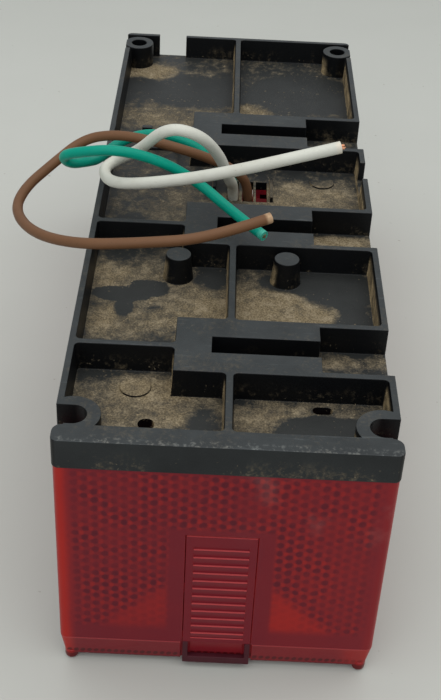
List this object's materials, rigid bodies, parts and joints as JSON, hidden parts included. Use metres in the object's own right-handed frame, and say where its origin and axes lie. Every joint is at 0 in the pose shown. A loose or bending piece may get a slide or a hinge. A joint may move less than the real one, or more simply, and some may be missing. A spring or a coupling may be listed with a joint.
{
  "type": "trailer tail light",
  "caption": "Low-profile trailer tail light: ribbed black back pan, tall red body, clip-on front lens, bayonet and wedge lamps, wire leads.",
  "frame": {"origin": "below the middle of the lamp, on the surface that its four lens feet stand on", "axes": "+X across the back, +Y along it to the far end, +Z out of the mounting back"},
  "size_m": [0.0935, 0.205, 0.0985],
  "materials": {
    "black_plastic": "satin",
    "dark_plastic": "satin",
    "red_plastic": "gloss",
    "lens_red": "gloss",
    "reflex_red": "gloss",
    "foam": "matte",
    "plated_steel": "satin",
    "spring_steel": "satin",
    "brass": "satin",
    "solder": "satin",
    "fibre": "matte",
    "clear_glass": "gloss",
    "tungsten": "satin",
    "white_insulation": "satin",
    "green_insulation": "satin",
    "brown_insulation": "satin",
    "copper": "satin"
  },
  "bodies": {
    "lamp": {"base_housing": "black_plastic", "bracket_screws": "plated_steel", "brown_lead": "brown_insulation", "brown_wire": "brown_insulation", "brown_wire_end": "copper", "contact_spring": "spring_steel", "far_reflex_panel": "reflex_red", "green_lead": "green_insulation", "green_wire": "green_insulation", "green_wire_end": "copper", "ground_rivet": "plated_steel", "ground_terminal": "brass", "lamp_body": "red_plastic", "lead_splice": "brass", "lens_gasket": "foam", "main_socket_shell": "brass", "marker_contacts": "brass", "marker_lead": "brown_insulation", "marker_socket": "fibre", "near_reflex_panel": "reflex_red", "socket_bracket": "plated_steel", "white_lead": "white_insulation", "white_wire": "white_insulation", "white_wire_end": "copper"},
    "lens": {"front_lens": "lens_red"},
    "near_latch": {"near_latch_tongue": "red_plastic", "near_latch_loop": "dark_plastic"},
    "far_latch": {"far_latch_tongue": "red_plastic", "far_latch_loop": "dark_plastic"},
    "contact_carrier": {"contact_disc": "fibre", "stop_turn_contact": "brass", "tail_contact": "brass"},
    "main_bulb": {"main_bulb_base": "brass", "main_bulb_insulator": "fibre", "main_bulb_contacts": "solder", "main_bulb_glass": "clear_glass", "main_bulb_stem": "clear_glass", "main_bulb_filaments": "tungsten"},
    "marker_bulb": {"marker_bulb_glass": "clear_glass", "marker_bulb_filament": "tungsten"}
  },
  "joints": [
    {"name": "lens_lift", "type": "slide", "parent": "lamp", "child": "lens", "axis": [0, 0, -1], "range_m": [0, 0.01]},
    {"name": "near_latch_release", "type": "hinge", "parent": "lamp", "child": "near_latch", "pos_m": [0, -0.0994, 0.024], "axis": [-1, 0, 0], "range_deg": [0, 5.5]},
    {"name": "far_latch_release", "type": "hinge", "parent": "lamp", "child": "far_latch", "pos_m": [0, 0.0994, 0.024], "axis": [1, 0, 0], "range_deg": [0, 5.5]},
    {"name": "contact_push", "type": "slide", "parent": "lamp", "child": "contact_carrier", "axis": [0, 1, 0], "range_m": [0, 0.002], "stiffness_N_per_m": 400, "springref_m": -0.002, "deforming": ["contact_spring", "green_lead", "brown_lead"]},
    {"name": "main_bulb_twist", "type": "hinge", "parent": "lamp", "child": "main_bulb", "pos_m": [0, 0, 0.036], "axis": [0, 1, 0], "range_deg": [0, 25]},
    {"name": "marker_bulb_pull", "type": "slide", "parent": "lamp", "child": "marker_bulb", "axis": [0, -1, 0], "range_m": [0, 0.008]}
  ],
  "couplings": [
    {"joint": "near_latch_release", "follows": "lens_lift", "rad_per_m": 8.7266},
    {"joint": "far_latch_release", "follows": "lens_lift", "rad_per_m": 8.7266}
  ]
}
